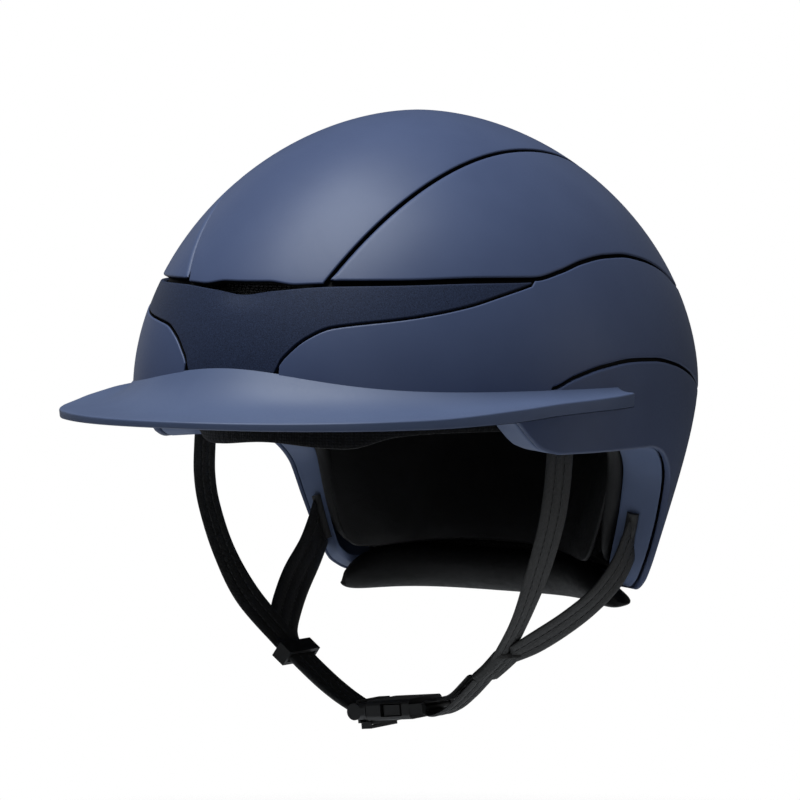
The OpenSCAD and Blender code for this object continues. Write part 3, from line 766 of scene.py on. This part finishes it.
def brim_section(u):
    """Closed outline of the brim at an angle, from the root over the edge and back under."""
    edge = BRIM_EDGE * float(curve(BRIM_THICKEN, u))
    low = float(curve(BRIM_LOW, u))
    top = float(brim_top(u))
    root = float(np.linalg.norm(wall(u, top)[:2])) + BRIM_ROOT
    under_root = float(np.linalg.norm(wall(u, 0)[:2])) + BRIM_ROOT
    out = float(brim_radius(u))
    z_edge = low + edge
    s = mixed(1, 1.2 * BRIM_NOSE / (out - root), np.linspace(0, 1, 34) ** 0.8)
    quarter = np.linspace(0, math.pi / 2, 6)
    pts = [(mixed(out, root, q), mixed(z_edge, top, cove(q))) for q in s]
    pts += [(out - BRIM_NOSE * (1 - math.sin(g)), z_edge - BRIM_NOSE * (1 - math.cos(g)))
            for g in quarter]
    pts += [(out - 0.25 - BRIM_HEEL * (1 - math.cos(g)), low + BRIM_HEEL * (1 - math.sin(g)))
            for g in quarter]
    pts += [(mixed(out, root, q), mixed(z_edge, top, cove(q)) - edge - 0.6 * q)
            for q in np.linspace(0.02, BRIM_FLANGE, 22)]
    base = mixed(z_edge, top, cove(BRIM_FLANGE)) - edge - 0.55
    pts += [(mixed(out, under_root, q), mixed(base, -6, smooth(BRIM_FLANGE, 0.965, q)))
            for q in (0.945, 0.97, 1.0)]
    return np.array(pts)


def make_brim():
    """Sections from temple to temple, shrunk a little at both ends so that they are rounded."""
    end_lip, mm_per_degree = 0.7, 2.1
    ends = LIP_STEPS[:-1] * end_lip
    u = np.concatenate([BRIM_END - ends, np.linspace(BRIM_END - end_lip, -BRIM_END + end_lip, 181),
                        ends[::-1] - BRIM_END])
    rings = []
    for a in u:
        sec = brim_section(a)
        shrink = rolled((BRIM_END - abs(a)) * mm_per_degree, 1.4, 0.8)
        if shrink > 0:
            half = np.ptp(sec[:, 1]) / 2
            middle = sec[:, 1].min() + half
            sec[:, 1] = middle + (sec[:, 1] - middle) * (1 - shrink / half)
            share = (sec[:, 0] - sec[:, 0].min()) / np.ptp(sec[:, 0])
            sec[:, 0] -= 0.8 * shrink * smooth(0.5, 1, share)
        rings.append(np.stack([sec[:, 0] * sin(a), -sec[:, 0] * cos(a), sec[:, 1]], -1))
    make("brim_cover", [tube(rings)], [BRIM_NAVY], "helmet", "brim", sharp=50)


make_lower_shell()
make_wrap()
make_brim()

# ---- under-shell, liner, vents ----------------------------------------------


def notch(u, mid, wide):
    return np.exp(-((np.abs(u) - mid) / wide) ** 4)


VENT_HALF, VENT_MIDDLES = 15, (0, 180)


def bowl(from_depth, to_depth, round_foot):
    """Shell of even thickness over the whole head, with notches for the straps' anchors."""
    u = np.arange(-180, 180, 2.0)
    foot = rim(u) + WRAP_THICK + 2.5 + 10 * notch(u, 72, 8) + 30 * notch(u, 121, 9)
    falls = np.array([1, 0.985, 0.95, 0.9, 0.78, 0.64, 0.5, 0.36, 0.22, 0.1])
    tilts = np.array([0, 4, 8, 12, 16, 20, 24, 30, 36, 42, 48, 54, 60, 66, 72, 78, 84])
    low = wall(u[:, None], foot[:, None] * falls)
    d = np.stack([sin(u)[:, None] * cos(tilts), -cos(u)[:, None] * cos(tilts),
                  sin(tilts) + 0 * u[:, None]], -1)
    p = np.concatenate([low, dome(d)], 1)
    holes = np.zeros((len(u), p.shape[1] - 1), bool)
    for mid in VENT_MIDDLES:
        near = np.abs((u + 1 - mid + 180) % 360 - 180) < VENT_HALF
        holes[np.ix_(near, [len(falls) + 4, len(falls) + 5])] = True
    roll = np.zeros(p.shape[:2])
    roll[:, :4] = np.array([1, 0.55, 0.2, 0.05]) * round_foot
    tips = [[0, 0, CROWN - from_depth], [0, 0, CROWN - to_depth]]
    return slab(inset(p, from_depth + roll), inset(p, to_depth - roll), True, tips, holes)


def make_bowls():
    make("under_bowl", [bowl(UNDER_DEPTH, UNDER_DEPTH + UNDER, 0.3)], [UNDER_BLACK_SEAM_SHADE], "helmet",
         "under_shell")
    make("liner_bowl", [bowl(LINER_DEPTH, LINER_DEPTH + LINER, 3.0)], [FOAM, NET], "helmet",
         "impact_liner")


GUARD_DEPTH, GUARD_HALF = UNDER_DEPTH + 0.8, 10.5
GUARD_WIRE, GUARD_SWAY = 0.2, 0.16


def make_vent(name, middle, node):
    """Woven guard behind a vent: crossing wires, and a plate that closes the hole below them. Both
    are near-black, darker than the black plastic: painted shade inside the vent.
    """
    chunks = []
    for k, u in enumerate(np.linspace(-10.4, 10.4, 21)):
        z = np.linspace(38.2, 49.8, 34)
        sway = GUARD_SWAY * np.sin(z * 3.2 + math.pi * k)
        chunks.append(wire(inset(wall(middle + u, z), GUARD_DEPTH + sway), GUARD_WIRE))
    for k, z in enumerate(np.linspace(38.6, 49.4, 11)):
        u = np.linspace(-GUARD_HALF, GUARD_HALF, 70)
        sway = GUARD_SWAY * np.cos(u * math.pi / 1.04 + math.pi * k)
        chunks.append(wire(inset(wall(middle + u, z), GUARD_DEPTH + sway), GUARD_WIRE))
    u = np.linspace(middle - GUARD_HALF, middle + GUARD_HALF, 15)
    plate = wall(u[:, None], np.linspace(28, 37.8, 5))
    chunks.append(slab(inset(plate, GUARD_DEPTH - 0.5), inset(plate, GUARD_DEPTH + 0.5)))
    make(name, chunks, [VENT_SHADE_BLACK], "helmet", node, index=[0] * len(chunks))


def wire(line, radius, sides=6):
    """Round wire along a line of points."""
    run = unit(np.gradient(line, axis=0))
    guide = np.array([0.0, 0.0, 1.0]) if abs(run[0][2]) < 0.8 else np.array([1.0, 0.0, 0.0])
    a = unit(np.cross(run, guide))
    b = np.cross(run, a)
    g = np.linspace(0, 2 * math.pi, sides, endpoint=False)
    return tube(line[:, None] + radius * (a[:, None] * np.cos(g)[:, None]
                                          + b[:, None] * np.sin(g)[:, None]))


make_bowls()
make_vent("front_vent_guard", 0, "front_vent_mesh")
make_vent("rear_vent_guard", 180, "rear_vent_mesh")

# ---- lining -----------------------------------------------------------------


def wall_pad(from_u, to_u, count, low, top, thick):
    """Cushion on the liner's inner face, between two lines; it is thinner at its edges."""
    u = np.linspace(from_u, to_u, count)
    t = np.linspace(0, 1, 14)
    v = np.where(u > 180, 360 - u, u)
    z = mixed(curve(low, v)[:, None], curve(top, v)[:, None], t)
    plump = lambda x: np.sqrt(np.maximum(0, 1 - np.abs(2 * x - 1) ** 4))
    full = np.maximum(0.3, plump(np.linspace(0, 1, count))[:, None] * plump(t))
    p = wall(u[:, None], z)
    return slab(inset(p, PAD_DEPTH), inset(p, PAD_DEPTH + thick * full))


CLOTH_FRAMES = 20


def inflate(obj, pin, pressure, cap_mm):
    """Padded fabric: blow the cloth up a little with its back held, cap the swelling."""
    rest = np.array([v.co for v in obj.data.vertices], float)
    group = obj.vertex_groups.new(name="held")
    group.add([int(i) for i in np.nonzero(pin(rest / MM))[0]], 1.0, "REPLACE")
    cloth = obj.modifiers.new("cloth", "CLOTH")
    s = cloth.settings
    s.quality, s.mass = 4, 0.2
    s.tension_stiffness = s.compression_stiffness = 12
    s.shear_stiffness, s.bending_stiffness = 6, 0.4
    s.use_pressure, s.uniform_pressure_force = True, pressure
    s.effector_weights.gravity = 0
    s.vertex_group_mass = "held"
    cloth.point_cache.frame_start, cloth.point_cache.frame_end = 1, CLOTH_FRAMES
    scene = bpy.context.scene
    for f in range(1, CLOTH_FRAMES + 1):
        scene.frame_set(f)
    dg = bpy.context.evaluated_depsgraph_get()
    puffed = obj.evaluated_get(dg).to_mesh()
    moved = np.array([v.co for v in puffed.vertices], float)
    obj.evaluated_get(dg).to_mesh_clear()
    obj.modifiers.remove(cloth)
    scene.frame_set(1)
    push = moved - rest
    far = np.linalg.norm(push, axis=1, keepdims=True)
    push *= np.minimum(1, cap_mm * MM / np.maximum(far, 1e-9))
    obj.data.vertices.foreach_set("co", (rest + push).astype(np.float32).ravel())
    obj.data.update()


def pad_depth_of(p):
    """Rough depth of points below the outer surface, in mm."""
    u = np.degrees(np.arctan2(p[:, 0], -p[:, 1]))
    base = wall(u, np.minimum(p[:, 2], 90))
    return np.einsum("ij,ij->i", base - p, outward(base))


def held_back(margin):
    """Picks the points of a cushion that lie against the liner, within a margin."""
    return lambda p: pad_depth_of(p) < PAD_DEPTH + margin


def softened(obj):
    """Smooths a cushion and subdivides it once."""
    bm = bmesh.new()
    bm.from_mesh(obj.data)
    ease = {"verts": bm.verts, "factor": 0.5, "use_axis_x": True, "use_axis_y": True,
            "use_axis_z": True}
    for _ in range(2):
        bmesh.ops.smooth_vert(bm, **ease)
    bmesh.ops.subdivide_edges(bm, edges=bm.edges, cuts=1, use_grid_fill=True, smooth=0.4)
    bmesh.ops.smooth_vert(bm, **ease)
    bm.to_mesh(obj.data)
    bm.free()
    obj.data.update()
    obj.data.shade_smooth()


def finish_pad(obj, pin, cap_mm, pressure=4):
    inflate(obj, pin, pressure, cap_mm)
    softened(obj)


NAPE_SECTION = [[-1.2, -91.8, 1], [3, -94, 1], [9, -95, 1], [15, -94.2, 0.9], [21, -91, 0.8],
                [25.4, -86, 0.8], [26.6, -80.5, 0.8], [25, -76, 0.8], [20, -74.6, 0.8],
                [14.5, -76, 1], [9.5, -80, 1.2], [5, -85.4, 1.2]]


def closed(points, count):
    """Smooth closed line through points."""
    p = np.array(points, float)
    x = np.arange(count) * len(p) / count
    i = np.floor(x).astype(int)
    f = (x - i)[:, None]
    a, b, c, d = (p[(i + k) % len(p)] for k in (-1, 0, 1, 2))
    return 0.5 * (2 * b + (c - a) * f + (2 * a - 5 * b + 4 * c - d) * f * f
                  + (3 * b - 3 * c + d - a) * f ** 3)


def bolster():
    """Soft roll that covers the liner's edge behind the rim trim, round the back."""
    u = np.arange(109, 251.1, 1.5)
    v = np.where(u > 180, u - 360, u)
    base = wall(v, rim(v) + 7.5)
    reach = WRAP_DEPTH * curve(WRAP_SHARE, v)
    line = base - outward(base) * (reach + 4.6)[:, None]
    radius = 3.8 - 2.4 * smooth(117, 123, np.abs(v))
    return wire(line, radius[:, None, None], 14)


def crown_cushion(thick):
    """Domed disc under the top of the liner, thinner at its edge."""
    a, tilts = np.arange(0, 360, 5.0), np.array([38, 42, 48, 54, 60, 66, 72, 78, 84])
    p = dome(np.stack([sin(a)[:, None] * cos(tilts), -cos(a)[:, None] * cos(tilts),
                       sin(tilts) + 0 * a[:, None]], -1))
    full = np.sqrt(np.maximum(0.05, 1 - np.linspace(-1, 0, len(tilts)) ** 6))
    tips = [[0, 0, CROWN - PAD_DEPTH], [0, 0, CROWN - PAD_DEPTH - thick]]
    return slab(inset(p, PAD_DEPTH), inset(p, PAD_DEPTH + thick * full), True, tips)


NAPE_REACH, NAPE_RINGS = 59.2, 77


def nape_roll():
    """Roll round the back of the rim; its section shrinks to (11, -87.2) at both ends."""
    rings, k = [], closed(NAPE_SECTION, 36)
    for i in range(NAPE_RINGS):
        t = math.cos(math.pi * mixed(0.03, 0.97, i / (NAPE_RINGS - 1)))
        u = 180 - NAPE_REACH * t
        swell, fall = math.sqrt(max(0.06, 1 - abs(t) ** 11)), 5.4 * t ** 6
        base = wall(u, -92)
        a, z = mixed(11, k[:, 0], swell), mixed(-87.2, k[:, 1], swell) - fall * k[:, 2]
        rings.append(np.stack([base[0] - a * sin(u), base[1] + a * cos(u), z], -1))
    return tube(rings)


BROW_LOW = [[0, -19.5], [15, -21.5], [22, -22], [32, -17.5], [42, -16.5], [64, -17]]
BROW_TOP = [[0, 13.5], [64, 13.5]]
SIDE_LOW, SIDE_TOP = [[67, -20], [106, -18]], [[67, 22], [106, 22]]
REAR_LOW = [[113, -40], [116, -62], [119, -78], [124, -87], [140, -91], [180, -93]]
REAR_TOP = [[113, -16], [118, -18], [180, -8]]


def make_pads():
    brow = make("brow_cushion", [wall_pad(-64, 64, 60, BROW_LOW, BROW_TOP, 6.5)], [KNIT],
                "helmet", "brow_pad")
    finish_pad(brow, held_back(1.4), cap_mm=1.6)
    side = wall_pad(67.5, 105.5, 30, SIDE_LOW, SIDE_TOP, 5.2)
    left = make("left_cushion", [side], [KNIT], "helmet", "left_side_pad")
    right = make("right_cushion", [mirrored(side)], [KNIT], "helmet", "right_side_pad")
    for pad in (left, right):
        finish_pad(pad, held_back(1.4), cap_mm=1.4)
    rear = make("rear_cushion", [wall_pad(113.5, 246.5, 66, REAR_LOW, REAR_TOP, 6), bolster()],
                [HIDE], "helmet", "rear_pad", index=[0, 0])
    finish_pad(rear, held_back(1.4), cap_mm=1.6)
    crown = make("crown_cushion", [crown_cushion(4.4)], [KNIT], "helmet", "crown_pad")
    finish_pad(crown, held_back(1.2), cap_mm=0.8)
    nape = make("nape_cushion", [nape_roll()], [NAPE_HIDE_PAINTED_SHADE], "helmet", "nape_pad")
    finish_pad(nape, lambda p: p[:, 2] > -91.5, cap_mm=1.4, pressure=3)


make_pads()

# ---- harness ----------------------------------------------------------------


def spline(points, t):
    p = np.asarray(points, float)
    n = len(p) - 1
    x = np.minimum(n - 0.0001, np.asarray(t, float) * n)
    i = np.floor(x).astype(int)
    f = (x - i)[..., None]
    a, b = p[np.maximum(0, i - 1)], p[i]
    c, d = p[i + 1], p[np.minimum(n, i + 2)]
    return 0.5 * (2 * b + (c - a) * f + (2 * a - 5 * b + 4 * c - d) * f * f
                  + (3 * b - 3 * c + d - a) * f ** 3)


def strap_frame(path, across, count):
    """Evenly spaced points of a strap, with their width and face directions, the distance
    along it and the way it runs."""
    t = np.linspace(0, 1, 400)
    line = spline(path, t)
    run = np.concatenate([[0], np.cumsum(np.linalg.norm(np.diff(line, axis=0), axis=1))])
    t = np.interp(np.linspace(0, run[-1], count), run, t)
    p = spline(path, t)
    way = unit(spline(path, np.minimum(1, t + 0.01)) - spline(path, np.maximum(0, t - 0.01)))
    w0 = spline(across, t)
    w = unit(w0 - way * np.einsum("ij,ij->i", w0, way)[:, None])
    return p, w, np.cross(way, w), np.linspace(0, run[-1], count), way


def capsules(spots, ways, sides, length, radius):
    """One small rounded thread per spot, lying along its way."""
    g = np.linspace(0, 2 * math.pi, 6, endpoint=False)
    stations = [(-0.5, 0.35), (-0.36, 0.85), (-0.15, 1.0), (0.15, 1.0), (0.36, 0.85), (0.5, 0.35)]
    points, faces = [], []
    for p, way, side in zip(spots, ways, sides):
        lift = np.cross(way, side)
        rings = np.array([p + way * (x * length) + radius * r * (
            side[None] * np.cos(g)[:, None] + lift[None] * np.sin(g)[:, None])
            for x, r in stations])
        q, f, _, _ = tube(rings)
        base = sum(len(x) for x in points)
        points.append(q)
        faces += [tuple(v + base for v in face) for face in f]
    return np.concatenate(points), faces, None, None


GROOVE, GROOVE_WIDTH, ROUND_END = 0.28, 0.55, 1.0
STITCH_PITCH, STITCH_LENGTH, STITCH_RADIUS = 3.1, 2.2, 0.26


def strap(path, across, width, thick, count, rows=(-1 / 6, 1 / 6)):
    """Flat webbing with rounded edges, sunk stitch rows and the threads in them."""
    p, w, n, run, way = strap_frame(path, across, count)
    edge = np.array([0.0, 0.012, 0.04, 0.08, 0.13])
    x = np.concatenate([edge, np.linspace(0.17, 0.83, 29), 1 - edge[::-1]]) * 2 - 1
    body = np.sqrt(np.maximum(0, 1 - np.abs(x) ** 9))
    sunk = sum(np.exp(-((x / 2 - r) * width / GROOVE_WIDTH) ** 2) for r in rows) * GROOVE
    face = thick / 2 * body - sunk + 0.10 * np.cos(x * math.pi * 3) * body
    fade = np.ones(count)
    for far in (run, run[-1] - run):
        fade *= np.sqrt(np.maximum(0.02, 1 - np.clip(1 - far / ROUND_END, 0, 1) ** 2))
    centre = p[:, None] + w[:, None] * (x * width / 2)[None, :, None]
    lift = n[:, None] * (face[None, :] * fade[:, None])[..., None]
    ring = np.concatenate([centre + lift, (centre - lift)[:, -2:0:-1]], 1)
    across_mm = np.concatenate([x, x[-2:0:-1] + 2.4]) * width / 2
    uv = np.stack(np.broadcast_arrays(across_mm[None, :], run[:, None]), -1)
    spots, ways, sides = [], [], []
    for r in rows:
        for face_way in (1, -1):
            for s in np.arange(2.5, run[-1] - 2.0, STITCH_PITCH):
                c, ww, nn, dd = (np.array([np.interp(s, run, arr[:, k]) for k in range(3)])
                                 for arr in (p, w, n, way))
                spots.append(c + ww * r * width + nn * face_way * (thick / 2 - GROOVE + 0.10))
                ways.append(unit(dd))
                sides.append(unit(ww))
    return [tube(ring, uv=uv), capsules(spots, ways, sides, STITCH_LENGTH, STITCH_RADIUS)]


FRONT_PATH = [[91.7, -30, -18], [91.9, -31, -27], [91.2, -32.2, -41], [88.4, -32.2, -55],
              [81.5, -31, -74], [71.5, -27.5, -93], [57.2, -20.8, -111.2]]
FRONT_ACROSS = [[0.1, 1, -0.1], [0.1, 1, -0.1], [0.1, 1, -0.05], [0.1, 1, 0], [0.1, 1, 0.1],
                [0.05, 1, 0.25], [0.12, 1, 0.25]]
REAR_PATH = [[82.3, 44.5, -60.5], [81.9, 40, -68], [81, 31.5, -79], [78.2, 17.5, -90],
             [73, 4.5, -98.4], [66.5, -7.5, -105.4], [58.4, -16.8, -111.3]]
REAR_ACROSS = [[-0.1, 0.9, -0.35], [-0.1, 0.85, -0.5], [-0.15, 0.7, -0.7], [-0.3, 0.65, -0.7],
               [-0.35, 0.65, -0.7], [-0.35, 0.7, -0.65], [-0.12, 0.95, -0.25]]
LEFT_LOOP = [[47, -19.6, -121.6], [43, -19.8, -125.8], [38, -20, -130.6], [31.5, -20, -135.6],
             [24.6, -20, -138.1], [19.8, -20, -135.3], [23.4, -20, -132.2], [29, -20, -131.4],
             [35.5, -20, -128.4], [40.5, -19.8, -123.8], [44.4, -19.6, -119.8]]
RIGHT_RUN = [[-53.6, -19.5, -114.9], [-49.5, -19.5, -118.1], [-42, -19.6, -123.6],
             [-34, -19.8, -129], [-26.5, -20, -133.4], [-21, -20, -136.2], [-16, -20, -138.4]]
PATCH = [[59.5, -19.3, -110], [53, -19.4, -116.2], [47.2, -19.6, -121]]
PATCH_ACROSS = [[0.2, 1, 0.05], [0.12, 1, 0.05], [0.05, 1, 0]]
STRAP_WIDTH, STRAP_THICK = 17, 1.8


def fold_in_slot():
    """The rear webbing folded through the slot in the steep part of the rim trim."""
    v = np.linspace(115.4, 118.8, 14)
    depth = PANEL + 2 * FIT + 0.6 * (WRAP_DEPTH * curve(WRAP_SHARE, v) - PANEL)
    return wire(inset(wall(v, rim(v)), depth), 2.7, 14)


def swings(obj):
    """Bakes the object's transform into its mesh; nothing here ties the lower ends of the V to the
    chin loop.
    """
    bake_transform(obj)


def make_straps():
    for side in ("left", "right"):
        for which, path, across in (("front", FRONT_PATH, FRONT_ACROSS),
                                    ("rear", REAR_PATH, REAR_ACROSS)):
            if side == "right":
                lift = 0.5 if which == "front" else 2.0
                path = path + [[54, -19.8, -115.6 + lift], [50.5, -19.6, -118.3 + lift]]
                across = across + [[0.08, 1, 0.05], [0.05, 1, 0]]
            chunks = strap(path, across, STRAP_WIDTH, STRAP_THICK, 110)
            if which == "rear":
                chunks.append(fold_in_slot())
            if side == "right":
                chunks = [mirrored(c) for c in chunks]
            obj = make(f"{side}_{which}_webbing", chunks, [STRAP, THREAD], None,
                       f"{side}_{which}_strap", sharp=60,
                       index=[0, 1, 0][:len(chunks)])
            swings(obj)
    patch = make("sewn_patch", strap(PATCH, PATCH_ACROSS, 18, 4.4, 24,
                                     rows=(-0.33, -1 / 9, 1 / 9, 0.33)),
                 [STRAP, THREAD], None, "left_sewn_patch", sharp=60)
    swings(patch)
    level_across = [[0, 1, 0]]
    make("left_chin_webbing", strap(LEFT_LOOP, level_across * len(LEFT_LOOP), 16.5, 1.4, 120),
         [STRAP, THREAD], "chin_loop", "left_chin_strap", sharp=60)
    right = make("right_chin_webbing", strap(RIGHT_RUN, level_across * len(RIGHT_RUN),
                                             STRAP_WIDTH, 3.2, 60),
                 [STRAP, THREAD], None, "right_chin_strap", sharp=60)
    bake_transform(right)


make_straps()

# ---- CAD nodes that stay, with their materials ------------------------------


def keep(node, material, width_mm):
    """A CAD solid whose shape is right: rounded edges and a finished surface."""
    obj = nodes[node]
    obj.data.materials.clear()
    obj.data.materials.append(material)
    flat = obj.modifiers.new("flat", "DECIMATE")
    flat.decimate_type, flat.angle_limit = "DISSOLVE", math.radians(2)
    bevel = obj.modifiers.new("edges", "BEVEL")
    bevel.width, bevel.segments = width_mm * MM, 3
    bevel.limit_method, bevel.angle_limit = "ANGLE", math.radians(32)
    bevel.harden_normals = True


for name, mat, wide in (("strap_anchor_bars", STEEL, 0.3), ("brim_screws", STEEL, 0.2),
                        ("strap_slider", BLACK, 0.6), ("buckle_socket", BLACK, 0.4),
                        ("buckle_clip", BLACK, 0.4), ("front_prong", BLACK, 0.35),
                        ("rear_prong", BLACK, 0.35), ("strap_tail", STRAP, 0.3),
                        ("tail_keeper", BLACK, 0.7)):
    keep(name, mat, wide)
